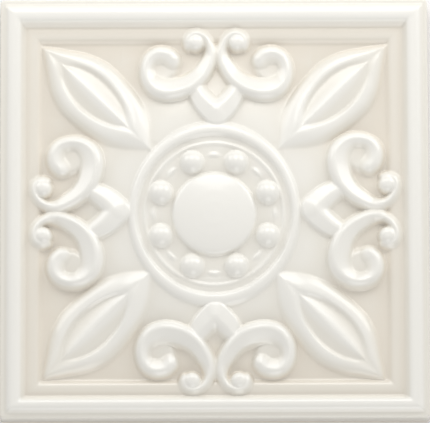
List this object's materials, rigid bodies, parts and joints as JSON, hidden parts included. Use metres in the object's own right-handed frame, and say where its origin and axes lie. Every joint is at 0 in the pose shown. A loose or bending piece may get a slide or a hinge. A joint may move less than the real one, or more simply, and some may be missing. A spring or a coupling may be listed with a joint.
{
  "type": "relief decor tile",
  "caption": "Square glazed ceramic wall tile with a stepped, moulded frame around a rosette, diagonal leaves and paired scrolls in high relief.",
  "frame": {"origin": "middle of the flat back face, which lies on Z = 0", "axes": "+Z out of the relief, away from the wall; +X and +Y along the tile's sides, with +Y the side that is up in the picture"},
  "size_m": [0.15, 0.15, 0.0132],
  "materials": {
    "ivory_glaze": "glossy ivory-white glaze over a pale fired body"
  },
  "bodies": {
    "root": {"relief_tile": "ivory_glaze"}
  },
  "joints": []
}
